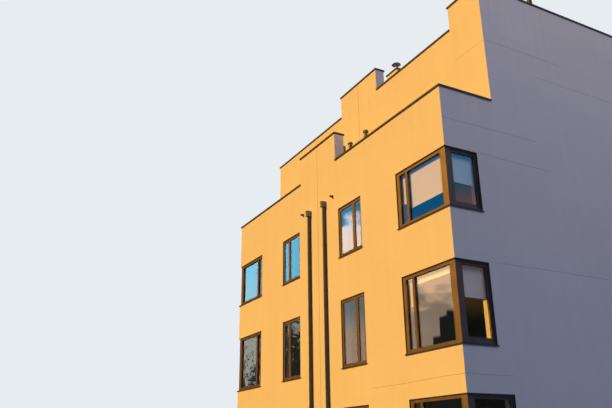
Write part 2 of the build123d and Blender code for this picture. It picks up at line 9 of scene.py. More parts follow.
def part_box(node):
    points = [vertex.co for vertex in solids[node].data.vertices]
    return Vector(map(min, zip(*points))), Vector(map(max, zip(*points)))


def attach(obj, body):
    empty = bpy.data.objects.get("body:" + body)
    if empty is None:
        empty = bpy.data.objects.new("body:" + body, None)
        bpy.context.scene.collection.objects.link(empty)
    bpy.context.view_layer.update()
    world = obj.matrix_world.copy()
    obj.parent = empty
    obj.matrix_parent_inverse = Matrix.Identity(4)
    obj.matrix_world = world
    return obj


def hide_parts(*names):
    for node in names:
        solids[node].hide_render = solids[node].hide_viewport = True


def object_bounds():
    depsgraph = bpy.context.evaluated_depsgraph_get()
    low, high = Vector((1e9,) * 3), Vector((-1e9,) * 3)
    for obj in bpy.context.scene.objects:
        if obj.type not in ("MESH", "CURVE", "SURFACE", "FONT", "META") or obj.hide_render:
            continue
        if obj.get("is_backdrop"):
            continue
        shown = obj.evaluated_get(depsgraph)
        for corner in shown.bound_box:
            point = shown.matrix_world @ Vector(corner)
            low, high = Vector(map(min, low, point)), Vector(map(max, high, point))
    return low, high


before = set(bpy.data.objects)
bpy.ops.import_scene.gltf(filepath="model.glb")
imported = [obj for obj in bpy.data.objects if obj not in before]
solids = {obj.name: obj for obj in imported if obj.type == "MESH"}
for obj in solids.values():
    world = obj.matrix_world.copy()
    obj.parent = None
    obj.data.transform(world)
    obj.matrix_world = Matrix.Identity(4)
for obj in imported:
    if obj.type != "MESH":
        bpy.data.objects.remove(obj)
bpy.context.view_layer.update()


# Rendered walls and chimney.
# Masonry with a mineral render, floated by hand and painted a warm white. The coat shows soft float
# marks, faint streaks under the copings and a darker splash zone near the ground.
roof_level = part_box("roof_slab")[1].z
front_face, rear_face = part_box("front_wall")[0].y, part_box("rear_wall")[1].y
gable_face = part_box("right_gable_wall")[1].x
inner_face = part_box("right_gable_wall")[0].x
wall_depth = gable_face - inner_face
set_back_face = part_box("set_back_wall")[0].y
terrace_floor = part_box("terrace_slab")[1].z
terrace_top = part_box("terrace_coping")[1].z
roof_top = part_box("roof_coping")[1].z
corner_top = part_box("roof_corner_coping")[1].z
render_white = (0.87, 0.80, 0.69)
render_grey = (0.79, 0.725, 0.625)
render_stain = (0.50, 0.47, 0.43)
# Dark grey on the walls' inner faces is painted shade for the unlit rooms.
indoor_painted_shade = (0.16, 0.15, 0.14)
blotch_size = 2.6
float_mark_size, float_mark_depth = 0.42, 0.004
wave_size, wave_depth = 0.9, 0.010
grain_size, grain_depth = 0.006, 0.0012
streak_drop, streak_start = 0.9, 0.05
streak_fade, streak_edge = 0.03, 0.02
streak_strength, least_strength = 0.12, 0.06
splash_foot, splash_height = 0.1, 0.45
splash_strength, splash_waver = 0.5, 0.3
corner_reach, far_beyond = 0.1, 1.0
face_blend = 0.004


def new_finish(name):
    """An empty finish: the material, and the building's own coordinates for its patterns."""
    material = bpy.data.materials.new(name)
    material.use_nodes = True
    return material, material.node_tree.nodes.new("ShaderNodeTexCoord").outputs["Object"]


def feed(node, inputs):
    """Sets a node's inputs, each to a number, a vector, a colour of three numbers or a node's output."""
    for name, value in inputs.items():
        socket = node.inputs[name]
        if isinstance(value, bpy.types.NodeSocket):
            node.id_data.links.new(value, socket)
        else:
            socket.default_value = (*value, 1) if socket.type == "RGBA" else value


def add_node(near, kind, inputs, **settings):
    """One node of a kind with its inputs and other settings, in the tree of a given node or socket."""
    made = near.id_data.nodes.new(kind)
    for key, value in settings.items():
        setattr(made, key, value)
    feed(made, inputs)
    return made


def drawn_out(place, scale):
    """The coordinates with each axis multiplied, so that a pattern is drawn out or squeezed."""
    return add_node(place, "ShaderNodeMapping", {"Vector": place, "Scale": scale}).outputs[0]


def clouds(place, size, detail=2.0, roughness=0.5):
    """Noise from 0 to 1 whose patches are about size metres across."""
    inputs = {"Vector": place, "Scale": 1 / size, "Detail": detail, "Roughness": roughness}
    return add_node(place, "ShaderNodeTexNoise", inputs).outputs[0]


def carried(value, low, high, start=0.0, end=1.0):
    """The value carried from low..high to start..end and held at both ends."""
    inputs = {"Value": value, "From Min": low, "From Max": high, "To Min": start, "To Max": end}
    return add_node(value, "ShaderNodeMapRange", inputs).outputs[0]


def both(first, second, operation="MULTIPLY"):
    """Two values worked into one by a product or another operation. The first is a node's output."""
    return add_node(first, "ShaderNodeMath", {0: first, 1: second}, operation=operation).outputs[0]


def added(total, *others):
    """The sum of several values."""
    for other in others:
        total = both(total, other, "ADD")
    return total


def dyed(share, first, second):
    """The first colour turning into the second as the share goes from 0 to 1."""
    return add_node(share, "ShaderNodeMix", {0: share, 6: first, 7: second}, data_type="RGBA").outputs[2]


def graded(value, low, high, first, second):
    """The first colour turning into the second as the value goes from low to high."""
    return dyed(carried(value, low, high), first, second)


def axis_of(place, axis):
    """One coordinate of the place, in metres."""
    return add_node(place, "ShaderNodeSeparateXYZ", {"Vector": place}).outputs[axis]


def finished(material, colour, roughness, relief, others=None):
    """The material with its colour, roughness, relief and other inputs of its shader set.

    The relief is a list of heights from 0 to 1, each with how many metres deep it stands.
    """
    shader = material.node_tree.nodes["Principled BSDF"]
    normal = {}
    for height, depth in relief:
        bump = add_node(shader, "ShaderNodeBump", {"Height": height, "Distance": depth, **normal})
        normal = {"Normal": bump.outputs[0]}
    feed(shader, {"Base Color": colour, "Roughness": roughness, **normal, **(others or {})})
    return material


def under(height, along, top, first_y, last_y):
    """1 just under a coping's top, fading out over a streak's drop, between two places along Y."""
    near = carried(height, top - streak_drop, top - streak_start)
    above = carried(height, top - streak_fade, top, 1.0, 0.0)
    start = carried(along, first_y - streak_edge, first_y + streak_edge)
    end = carried(along, last_y - streak_edge, last_y + streak_edge, 1.0, 0.0)
    return both(both(near, above), both(start, end))


def indoors(place):
    """1 inside the shell of the outer walls and 0 on their outer faces and in their window reveals."""
    across = both(axis_of(place, 0), 0.0, "ABSOLUTE")
    along = axis_of(place, 1)
    beside = carried(across, inner_face, inner_face + face_blend, 1.0, 0.0)
    behind = carried(along, front_face + wall_depth - face_blend, front_face + wall_depth)
    before = carried(along, rear_face - wall_depth, rear_face - wall_depth + face_blend, 1.0, 0.0)
    below = carried(axis_of(place, 2), terrace_floor - face_blend, terrace_floor, 1.0, 0.0)
    return both(both(beside, below), both(behind, before))


def render_coat():
    """Painted render: float marks, blotches of drying, streaks under copings, splash at the foot, and
    painted shade on the inner faces.
    """
    material, place = new_finish("mineral_render")
    height = axis_of(place, 2)
    along = axis_of(place, 1)
    blotches = carried(clouds(place, blotch_size, 4.0, 0.55), 0.32, 0.70)
    float_marks = clouds(drawn_out(place, (1.0, 1.0, 2.4)), float_mark_size, 5.0, 0.62)
    grain = clouds(place, grain_size, 2.0, 0.7)
    mottle = added(both(blotches, 0.45), both(float_marks, 0.42), both(grain, 0.16))
    tone = graded(mottle, 0.25, 1.1, render_white, render_grey)
    runs = carried(clouds(drawn_out(place, (4.0, 4.0, 0.16)), 1.0, 3.0, 0.5), 0.42, 0.80)
    zone = under(height, along, terrace_top, front_face - far_beyond, set_back_face)
    for top in (roof_top, corner_top):
        zone = both(zone, under(height, along, top, set_back_face - corner_reach, rear_face + far_beyond),
                    "MAXIMUM")
    tone = dyed(both(runs, added(both(zone, streak_strength), least_strength)), tone, render_stain)
    splash = added(height, both(float_marks, splash_waver))
    tone = dyed(carried(splash, splash_foot, splash_height, splash_strength, 0.0), tone, render_stain)
    # The inner faces of the outer walls take a dark grey: painted shade for the unlit rooms.
    tone = dyed(indoors(place), tone, indoor_painted_shade)
    relief = [(clouds(place, wave_size, 3.0), wave_depth), (float_marks, float_mark_depth),
              (grain, grain_depth)]
    return finished(material, tone, 0.93, relief, {"Specular IOR Level": 0.12})


def coat(node_name, material):
    """The finish of a solid that is already the right shape."""
    mesh = solids[node_name].data
    mesh.materials.clear()
    mesh.materials.append(material)


wall_render = render_coat()
for wall in ("front_wall", "rear_wall", "right_gable_wall", "left_gable_wall", "set_back_wall", "chimney"):
    coat(wall, wall_render)


# Movement joints and hairline joints in the render.
# A sealed movement joint divides the two units on the front. Where the render bridges the floor edges,
# thin joints have opened in it; they are drawn as shallow filled ribbons a few millimetres wide.
joint_width, joint_proud = 0.014, 0.0012
ground_clearance, terrace_clearance = 0.05, 0.02
hairline_width, hairline_waver = 0.007, 0.010
ribbon_step = 0.25
sway_waves = (0.9, 2.3, 6.1)
sealant_dark, sealant_light = (0.21, 0.18, 0.155), (0.32, 0.28, 0.24)
step_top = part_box("terrace_step_coping")[0].z
roof_step_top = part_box("roof_step_coping")[0].z
first_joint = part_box("first_floor_slab")[1].z
second_joint_drop, upper_joint_drop, parapet_joint_rise, high_joint_drop = 0.38, 0.52, 0.31, 0.73
second_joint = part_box("second_floor_slab")[1].z - second_joint_drop
upper_joint = terrace_floor - upper_joint_drop
parapet_joint = terrace_floor + parapet_joint_rise
high_joint = roof_level - high_joint_drop
# Hairlines on the front: how far each runs from the corner, its height and the face of its wall.
front_hairlines = [(3.80, first_joint, front_face), (1.30, roof_level, set_back_face)]
# Hairlines on the gable: how far behind the front each starts and ends, and its height.
gable_hairlines = [
    (0.0, 1.50, first_joint), (1.14, 5.80, second_joint), (1.14, 3.80, upper_joint),
    (0.0, 3.40, parapet_joint), (3.80, 9.10, high_joint), (set_back_face - front_face, 5.00, roof_level),
]


def skinned(name, rings, looped=False, smooth=None):
    """Closed shells from stacks of rings, given as an array by shell, ring, point and xyz.

    Each point is joined to the next of its ring and to the same two of the next ring. The first and
    last rings are filled with a flat face, or joined to each other where the stack is a loop.
    """
    shells, steps, corners = rings.shape[:3]
    number = np.arange(shells * steps * corners).reshape(shells, steps, corners)
    beside = np.roll(number, -1, axis=2)
    last = steps if looped else steps - 1
    above = np.roll(number, -1, axis=1)[:, :last]
    above_beside = np.roll(beside, -1, axis=1)[:, :last]
    sides = np.stack([number[:, :last], beside[:, :last], above_beside, above], axis=-1)
    faces = sides.reshape(-1, 4).tolist()
    if not looped:
        faces += number[:, 0, ::-1].tolist() + number[:, -1].tolist()
    mesh = bpy.data.meshes.new(name)
    mesh.from_pydata(rings.reshape(-1, 3).tolist(), [], faces)
    shell = bmesh.new()
    shell.from_mesh(mesh)
    bmesh.ops.recalc_face_normals(shell, faces=shell.faces)
    shell.to_mesh(mesh)
    shell.free()
    if smooth is not None:
        mesh.shade_smooth()
        mesh.set_sharp_from_angle(angle=math.radians(smooth))
    piece = bpy.data.objects.new(name, mesh)
    bpy.context.scene.collection.objects.link(piece)
    return piece


def set_in_place(piece, material):
    """Gives a piece its finish and fixes it to the building."""
    piece.data.materials.append(material)
    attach(piece, "root")
    return piece


def ribbon(start, end, width, outward, waver, seed):
    """Rings of a thin lens-shaped strip that lies on a wall from start to end.

    A point at share t of the way is start + t (end - start), moved across by a sum of three sines of t,
    and its ring has four points: both edges, the crown, and the back just inside the wall.
    """
    start, end, outward = np.array(start, float), np.array(end, float), np.array(outward, float)
    run = end - start
    length = np.linalg.norm(run)
    steps = int(length / ribbon_step) + 2
    t = np.linspace(0, 1, steps)[:, None]
    across = np.cross(outward, run / length)
    phase = np.random.default_rng(seed).uniform(0, 2 * math.pi, 3)
    sway = sum(np.sin(length * t * k + phase[i]) / (i + 1) for i, k in enumerate(sway_waves))
    middle = start + run * t + across * sway * waver
    edge = across * width / 2
    crown = outward * joint_proud
    return np.stack([middle - edge, middle + crown, middle + edge, middle - crown], axis=1)


def joint_filler():
    """Grey sealant, darkened by dust, with a slightly uneven face."""
    material, place = new_finish("joint_filler")
    colour = graded(clouds(place, 0.2, 4.0), 0.3, 0.7, sealant_dark, sealant_light)
    relief = [(clouds(place, 0.01, 2.0), 0.001)]
    return finished(material, colour, 0.8, relief, {"Specular IOR Level": 0.2})


def filled_joints(name, lines, outward, width, waver, first_seed):
    """Joints on walls that face one way, each given by its two ends."""
    for i, (start, end) in enumerate(lines):
        rings = ribbon(start, end, width, outward, waver, first_seed + i)
        set_in_place(skinned(f"{name}_{i + 1}", rings[None]), sealant)


sealant = joint_filler()
filled_joints("front_movement_joint", [
    ((0.0, front_face, ground_clearance), (0.0, front_face, step_top)),
    ((0.0, set_back_face, terrace_floor + terrace_clearance), (0.0, set_back_face, roof_step_top)),
], (0, -1, 0), joint_width, waver=0.0, first_seed=0)
filled_joints("front_hairline", [((gable_face - run, face, z), (gable_face, face, z))
                                 for run, z, face in front_hairlines],
              (0, -1, 0), hairline_width, hairline_waver, first_seed=0)
filled_joints("gable_hairline", [((gable_face, front_face + start, z), (gable_face, front_face + end, z))
                                 for start, end, z in gable_hairlines],
              (1, 0, 0), hairline_width, hairline_waver, first_seed=20)


# Floors.
# Cast concrete slabs between the walls, screeded by hand and sealed; their dark grey is painted shade for
# the unlit rooms.
# The screed's dark greys are painted shade for the unlit rooms.
screed_shade_dark, screed_shade_light = (0.11, 0.105, 0.10), (0.17, 0.165, 0.155)


def screed():
    """Sealed screed with trowel arcs, dust and fine pits, dark grey as painted shade for the unlit rooms.
    """
    material, place = new_finish("floor_screed")
    sweep = clouds(drawn_out(place, (1.0, 3.0, 1.0)), 0.25, 3.0)
    tone = added(clouds(place, 1.1, 5.0, 0.6), both(sweep, 0.35))
    colour = graded(tone, 0.45, 0.95, screed_shade_dark, screed_shade_light)
    return finished(material, colour, 0.85, [(sweep, 0.002), (clouds(place, 0.01, 2.0), 0.0008)])


floor_screed = screed()
for floor in ("ground_slab", "first_floor_slab", "second_floor_slab", "terrace_slab", "roof_slab"):
    coat(floor, floor_screed)


# Terrace paving and gravel margin.
# Concrete pavers lie on pads behind a margin of washed gravel that drains along the parapet, where the
# vent pipes stand.
paver_size, paver_gap = 0.60, 0.005
paver_top, paver_ease, paver_settle = 0.038, 0.003, 0.0012
paver_dark, paver_light = (0.42, 0.41, 0.39), (0.52, 0.50, 0.47)
paver_speck, paver_dirt = (0.70, 0.68, 0.64), (0.30, 0.29, 0.27)
margin_width = 0.36
gravel_cell, gravel_level = 0.03, 0.022
gravel_rough, gravel_swell, swell_turns = 0.004, 0.003, 7
gravel_dark, gravel_light, gravel_gap_shade = (0.22, 0.20, 0.18), (0.55, 0.50, 0.43), (0.08, 0.075, 0.07)
stone_count, stone_sides = 2600, 6
stone_least, stone_most = 0.007, 0.015
stone_reach, stone_rise = np.array([0.45, 1.0, 0.8, 0.3]), np.array([-0.55, -0.15, 0.35, 0.55])
stone_squash = np.array([1.2, 1.0, 0.8])
stone_pile, stone_clearance = 0.008, 0.02
terrace_front = front_face + wall_depth
# A rectangle's four corners in turn: which lie at its right and which at its upper or rear edge.
corner_right, corner_upper = np.array([0, 1, 1, 0]), np.array([0, 0, 1, 1])


def points(x, y, z):
    """Points as one array, from three coordinates that are arrays or single values."""
    return np.stack(np.broadcast_arrays(x, y, z), axis=-1)


def eased_boxes(low, high, ease):
    """Rings of boxes with eased top edges, from arrays of their lowest and highest corners.

    Each box has three rings of four corners: the foot, the sides' top, and the top drawn in by the ease.
    """
    inset = np.array([0, 0, ease])[:, None]
    level = np.stack([low[:, 2], high[:, 2] - ease, high[:, 2]], axis=1)[:, :, None]
    low, high = low[:, None, None], high[:, None, None]
    x = np.where(corner_right, high[..., 0] - inset, low[..., 0] + inset)
    y = np.where(corner_upper, high[..., 1] - inset, low[..., 1] + inset)
    return points(x, y, level)


def terrace_pavers():
    """Two rows of pavers as wide as fit between the gables, with open joints."""
    columns, rows, half = round(2 * inner_face / paver_size), 2, paver_gap / 2
    x = np.linspace(-inner_face, inner_face, columns + 1)[:, None]
    y = np.linspace(terrace_front + margin_width, set_back_face, rows + 1)
    settle = np.random.default_rng(4).uniform(-paver_settle, paver_settle, (columns, rows))
    low = points(x[:-1] + half, y[:-1] + half, terrace_floor)
    high = points(x[1:] - half, y[1:] - half, terrace_floor + paver_top + settle)
    return eased_boxes(low.reshape(-1, 3), high.reshape(-1, 3), paver_ease)


def cells(place, per_metre, **settings):
    """A pattern of cells, so many to a metre."""
    inputs = {"Vector": place, "Scale": per_metre}
    return add_node(place, "ShaderNodeTexVoronoi", inputs, **settings).outputs


def paver_concrete():
    """Pressed concrete with a fine aggregate, lighter and darker in patches."""
    material, place = new_finish("paver_concrete")
    patches = clouds(drawn_out(place, (1.0, 1.0, 0.0)), 0.9, 0.0)
    speck = carried(clouds(place, 0.004, 1.0, 0.4), 0.38, 0.66)
    colour = graded(patches, 0.3, 0.7, paver_dark, paver_light)
    colour = dyed(both(speck, 0.35), colour, paver_speck)
    colour = dyed(both(cells(place, 2.0, distance="CHEBYCHEV")[0], 0.2), colour, paver_dirt)
    return finished(material, colour, 0.88, [(speck, 0.0008)])


def laid_sheet(x, y, height, level):
    """A closed sheet: a grid of heights over a flat foot at the level."""
    top = points(x, y, height)
    foot = top[:, [-1, 0]].copy()
    foot[..., 2] = level
    return np.concatenate([top, foot], axis=1)[None]


def gravel_bed():
    """The bed as a closed sheet, whose heights are made from a sine along X and seeded noise."""
    x = np.linspace(-inner_face, inner_face, int(2 * inner_face / gravel_cell))[:, None]
    margin_end = terrace_front + margin_width - paver_gap
    y = np.linspace(terrace_front, margin_end, int(margin_width / gravel_cell))
    rough = np.random.default_rng(5).uniform(-gravel_rough, gravel_rough, (len(x), len(y)))
    height = gravel_level + gravel_swell * np.sin(swell_turns * x) + rough
    return laid_sheet(x, y, terrace_floor + height, terrace_floor)


def gravel_stones():
    """Pebbles: a six-sided spindle squashed, turned and scaled by seeded random amounts.

    A point lies at its ring's reach times the cosine and sine of its turn, and at its ring's rise.
    """
    random = np.random.default_rng(6)
    turn = np.arange(stone_sides) * 2 * math.pi / stone_sides
    reach = stone_reach[:, None]
    shape = points(reach * np.cos(turn), reach * np.sin(turn), stone_rise[:, None])
    size = random.uniform(stone_least, stone_most, (stone_count, 1, 1, 3)) * stone_squash
    angle = random.uniform(0, math.pi, (stone_count, 1, 1))
    stone = shape * size
    x = stone[..., 0] * np.cos(angle) - stone[..., 1] * np.sin(angle)
    y = stone[..., 0] * np.sin(angle) + stone[..., 1] * np.cos(angle)
    reach_x = inner_face - stone_clearance
    reach_y = margin_width - paver_gap - 2 * stone_clearance
    x += random.uniform(-reach_x, reach_x, (stone_count, 1, 1))
    y += terrace_front + stone_clearance + random.uniform(0, reach_y, (stone_count, 1, 1))
    z = stone[..., 2] + terrace_floor + gravel_level + random.uniform(0, stone_pile, (stone_count, 1, 1))
    return points(x, y, z)


def washed_gravel():
    """Grey, buff and brown pebbles; each colour is a cell of the size of a stone, darkened towards its edge
    as painted shade between the stones.
    """
    material, place = new_finish("washed_gravel")
    pebble = cells(place, 45.0)
    colour = dyed(axis_of(pebble["Color"], 0), gravel_dark, gravel_light)
    # Each cell darkens towards its edge: painted shade in the crevices between the stones.
    colour = dyed(carried(pebble["Distance"], 0.3, 0.8, 0.0, 0.5), colour, gravel_gap_shade)
    return finished(material, colour, 0.75, [(pebble["Distance"], 0.006)])


set_in_place(skinned("terrace_pavers", terrace_pavers()), paver_concrete())
pebbles = washed_gravel()
set_in_place(skinned("gravel_bed", gravel_bed()), pebbles)
set_in_place(skinned("gravel_stones", gravel_stones(), smooth=50), pebbles)


# Roof membrane.
# Bitumen felt with a mineral face, rolled out along the roof in lapped widths and turned up the parapets
# and the chimney, where a screwed metal bar clamps its edge.
felt_width, felt_thickness, felt_lap = 0.95, 0.005, 0.004
felt_ripple, ripple_turns, felt_columns = 0.0012, (2.1, 3.3), 90
roll_shares, roll_lifts = np.array([0.0, 0.02, 0.3, 0.7, 0.98]), np.array([1.0, 0.15, 0.0, 0.0, 0.0])
least_roll = 0.1
felt_dark, felt_light, felt_puddle = (0.10, 0.10, 0.105), (0.24, 0.24, 0.245), (0.27, 0.25, 0.22)
upstand_height, cant = 0.21, 0.055
bar_height, bar_thickness = 0.03, 0.004
aluminium_dark, aluminium_light = (0.52, 0.53, 0.54), (0.68, 0.68, 0.68)
roof_front, roof_rear = set_back_face + wall_depth, rear_face - wall_depth

# Sections that run round the roof and the chimney: how far each point stands from the wall, and its height.
felt_foot = roof_level + felt_thickness / 2
upstand_top = felt_foot + upstand_height
upstand = [(0.0, felt_foot), (cant, felt_foot), (cant, felt_foot + felt_thickness),
           (felt_thickness, felt_foot + cant), (felt_thickness, upstand_top), (0.0, upstand_top)]
bar_face, bar_foot = felt_thickness + bar_thickness, roof_level + upstand_height - bar_height
clamping_bar = [(felt_thickness, bar_foot), (bar_face, bar_foot), (bar_face, bar_foot + bar_height),
                (felt_thickness, bar_foot + bar_height)]


def felt_field():
    """The laid felt as a closed sheet: a ramp from lap to lap across Y, with slight ripples both ways."""
    rolls = int((roof_rear - roof_front) / felt_width) + 1
    y = (np.arange(rolls)[:, None] + roll_shares).ravel() * felt_width + roof_front
    lift = np.tile(roll_lifts, rolls) * felt_lap
    inside = y < roof_rear - felt_width * least_roll
    y = np.append(y[inside], roof_rear)
    lift = np.append(lift[inside], 0.0)
    x = np.linspace(-inner_face, inner_face, felt_columns)[:, None]
    ripple = felt_ripple * np.sin(ripple_turns[0] * x) * np.sin(ripple_turns[1] * y)
    return laid_sheet(x, y, roof_level + felt_thickness + lift + ripple, roof_level)


def around(low, high, section, way):
    """A section carried round a level rectangle with mitred corners, inwards (1) or outwards (-1)."""
    reach, level = np.array(section).T
    inset = way * reach
    x = np.where(corner_right[:, None], high[0] - inset, low[0] + inset)
    y = np.where(corner_upper[:, None], high[1] - inset, low[1] + inset)
    return points(x, y, level)[None]


def mineral_felt():
    """Slate chippings bonded to bitumen, with dried puddles."""
    material, place = new_finish("mineral_felt")
    chips = cells(place, 260.0)
    colour = dyed(axis_of(chips["Color"], 0), felt_dark, felt_light)
    puddle = carried(clouds(place, 1.6, 4.0), 0.52, 0.66, 0.0, 0.45)
    return finished(material, dyed(puddle, colour, felt_puddle), 0.9, [(chips["Distance"], 0.0015)])


def bar_metal():
    """Mill-finished aluminium, dulled outdoors."""
    material, place = new_finish("dull_aluminium")
    dull = clouds(place, 0.08, 4.0)
    relief = [(clouds(drawn_out(place, (1, 1, 30)), 0.05), 0.0003)]
    return finished(material, dyed(dull, aluminium_dark, aluminium_light),
                    carried(dull, 0.2, 0.8, 0.35, 0.55), relief, {"Metallic": 0.9})


felt = mineral_felt()
aluminium = bar_metal()
set_in_place(skinned("roof_felt", felt_field()), felt)
stack_low, stack_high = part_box("chimney")
for name, low, high, way in (("parapet", (-inner_face, roof_front), (inner_face, roof_rear), 1),
                             ("chimney", stack_low, stack_high, -1)):
    for kind, section, material, slot in (("upstand", upstand, felt, "dark_metal"),
                                          ("clamping_bar", clamping_bar, aluminium, "steel")):
        rings = around(low, high, section, way)
        set_in_place(skinned(f"{name}_{kind}", rings, looped=True), material)


# Copings.
# Folded sheet metal caps, coated dark bronze, held by hidden clips. Narrow cover straps bridge the butt
# joints between lengths.
strap_width, strap_thickness, strap_spacing = 0.11, 0.0015, 2.5
coping_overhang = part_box("terrace_coping")[1].x - gable_face
lip_height = terrace_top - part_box("terrace_coping")[0].z
bronze_dark, bronze_light = (0.050, 0.044, 0.044), (0.072, 0.065, 0.064)
dust_grey = (0.16, 0.15, 0.14)


def coated_metal(name, dark, light, gloss, flakes):
    """Powder-coated sheet: orange peel, a share of metal flakes, dust on upward faces, rubbed patches."""
    material, place = new_finish(name)
    bloom = clouds(place, 0.35, 5.0, 0.6)
    facing = add_node(place, "ShaderNodeNewGeometry", {}).outputs["Normal"]
    dust = both(carried(axis_of(facing, 2), 0.4, 1.0, 0.0, 0.35), bloom)
    tone = dyed(dust, graded(bloom, 0.3, 0.7, dark, light), dust_grey)
    return finished(material, tone, carried(bloom, 0.25, 0.75, gloss, gloss + 0.16),
                    [(clouds(place, 0.0012, 1.0), 0.0002)], {"Metallic": flakes})


def straps_along(axis, places, across, top):
    """Cover straps over a coping that runs along X (0) or Y (1), centred on its wall at `across`.

    Each strap is the coping's section, grown by its thickness, at two places a strap's width apart.
    """
    half = wall_depth / 2 + coping_overhang
    grown, low = half + strap_thickness, top - lip_height
    crown = top + strap_thickness
    side = np.array([-half, -grown, -grown, grown, grown, half, half, -half]) + across
    level = np.array([low, low, crown, crown, low, low, top, top])
    along = np.array(places)[:, None, None] + np.array([-0.5, 0.5])[:, None] * strap_width
    return points(along, side, level) if axis == 0 else points(side, along, level)


def evenly(start, end):
    """Joint places between two ends, at about the usual length of a coping piece."""
    count = max(1, round(abs(end - start) / strap_spacing))
    return list(np.linspace(start, end, count + 1)[1:-1]) if count > 1 else [(start + end) / 2]


bronze_sheet = coated_metal("bronze_sheet", bronze_dark, bronze_light, 0.42, 0.0)
for name in solids:
    if name.endswith("_coping"):
        coat(name, bronze_sheet)

half_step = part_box("terrace_step_coping")[1].x
corner_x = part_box("roof_corner_coping")[0].x
middle_of_wall = wall_depth / 2
front_line, back_line = front_face + middle_of_wall, set_back_face + middle_of_wall
gable_line, rear_line = gable_face - middle_of_wall, rear_face - middle_of_wall
strap_rings = [
    straps_along(0, evenly(half_step, gable_face), front_line, terrace_top),
    straps_along(0, evenly(-gable_face, -half_step), front_line, terrace_top),
    straps_along(0, evenly(-gable_face, -half_step), back_line, roof_top),
    straps_along(0, evenly(half_step, corner_x), back_line, roof_top),
    straps_along(0, evenly(-gable_face, corner_x), rear_line, roof_top),
    straps_along(1, evenly(set_back_face, rear_face), -gable_line, roof_top),
    straps_along(1, evenly(set_back_face, rear_face), gable_line, corner_top),
]
set_in_place(skinned("coping_straps", np.concatenate(strap_rings)), bronze_sheet)


# Window and door frames.
# Thermally broken aluminium sections, coated bronze with a satin sheen, in reveals lined with darker
# sheet, which is painted darker still as shade in the reveals. A bead holds each pane, with a black
# gasket inside it and a fine joint outside, and small covers hide the drain slots in the lower members.
glass_bite = 0.012
gasket_width, gasket_depth = 0.009, 0.007
bead_width, bead_joint, bead_joint_proud = 0.026, 0.006, 0.001
bevel_width, bevel_height = 0.7, 0.6
sash_step = 0.012
drain_length, drain_height, drain_proud, drain_ease = 0.034, 0.011, 0.006, 0.002
drain_share, drain_drop = 0.22, 0.040
lining_blend = 0.002
# The linings' colour: darker bronze sheet, darkened further as painted shade in the reveals.
lining_bronze_and_shade = (0.085, 0.068, 0.062)
frame_dark, frame_light = (0.28, 0.215, 0.20), (0.34, 0.265, 0.245)
rubber_black, rubber_chalk = (0.012, 0.012, 0.013), (0.035, 0.034, 0.033)
frame_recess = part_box("lower_window_right")[0].y - front_face
frame_nodes = [name for name in solids if "window" in name or name.endswith("_frames")]
glass_nodes = [name for name in solids if name.endswith("_glass")]


def darken_linings(material):
    """Turns the finish darker on the folded linings, which lie in front of the frames' faces: darker bronze
    sheet, and painted shade of the reveals.
    """
    tree = material.node_tree
    place = tree.nodes["Texture Coordinate"].outputs["Object"]
    across = both(axis_of(place, 0), 0.0, "ABSOLUTE")
    along = axis_of(place, 1)
    inner = frame_recess - lining_blend
    before = carried(along, front_face + inner - lining_blend, front_face + inner, 1.0, 0.0)
    behind = carried(along, rear_face - inner, rear_face - inner + lining_blend)
    beside = carried(across, gable_face - inner, gable_face - inner + lining_blend)
    lining = both(both(before, behind, "MAXIMUM"), beside, "MAXIMUM")
    shader = tree.nodes["Principled BSDF"]
    tone = shader.inputs["Base Color"].links[0].from_socket
    feed(shader, {"Base Color": dyed(lining, tone, lining_bronze_and_shade)})


def loose_boxes(name):
    """The lowest and highest corners of each separate solid in a node.

    Points of one triangle take the lowest of their numbers, again and again, until each solid has
    one number of its own.
    """
    mesh = solids[name].data
    mesh.calc_loop_triangles()
    corner = np.empty(len(mesh.loop_triangles) * 3, np.int32)
    mesh.loop_triangles.foreach_get("vertices", corner)
    place = np.empty(len(mesh.vertices) * 3, np.float32)
    mesh.vertices.foreach_get("co", place)
    spots, number = np.unique(np.round(place.reshape(-1, 3), 4), axis=0, return_inverse=True)
    triangles = number.ravel()[corner].reshape(-1, 3)
    label = np.arange(len(spots))
    while True:
        lower = label.copy()
        np.minimum.at(lower, triangles.ravel(), np.repeat(label[triangles].min(axis=1), 3))
        if (lower == label).all():
            break
        label = lower
    kinds, group = np.unique(label, return_inverse=True)
    low = np.full((len(kinds), 3), np.inf)
    high = np.full((len(kinds), 3), -np.inf)
    np.minimum.at(low, group.ravel(), spots)
    np.maximum.at(high, group.ravel(), spots)
    return low, high


def facing_out(rings, low, high):
    """Rings given as sideways, outwards and up, laid on the panes that their boxes tell of.

    A pane thin along Y faces the front or the rear and a pane thin along X faces a gable; outwards is
    measured from the pane's outer surface.
    """
    low, high = low[:, None, None], high[:, None, None]
    size, sign = high - low, np.sign(low + high)
    face = np.where(sign < 0, low, high)
    flat = size[..., 1] < size[..., 0]
    side, out, up = rings[..., 0], rings[..., 1], rings[..., 2]
    x = np.where(flat, side, face[..., 0] + sign[..., 0] * out)
    y = np.where(flat, face[..., 1] + sign[..., 1] * out, side)
    return points(x, y, up)


def pane_edges(low, high):
    """Each pane's clear opening: its sideways start and end, its foot and its head."""
    flat = (high - low)[:, 1] < (high - low)[:, 0]
    start = np.where(flat, low[:, 0], low[:, 1]) + glass_bite
    end = np.where(flat, high[:, 0], high[:, 1]) - glass_bite
    return start, end, low[:, 2] + glass_bite, high[:, 2] - glass_bite


def face_distance(low, high):
    """How far each pane's outer surface lies behind the face of its frame or, on a gable, of its sash."""
    face = np.where(low[:, 1] < set_back_face, front_face, set_back_face)
    depth = np.where(low[:, 1] < 0, low[:, 1] - face, rear_face - high[:, 1])
    flat = (high - low)[:, 1] < (high - low)[:, 0]
    return np.where(flat, depth, gable_face - np.maximum(high[:, 0], -low[:, 0]) - sash_step) - frame_recess


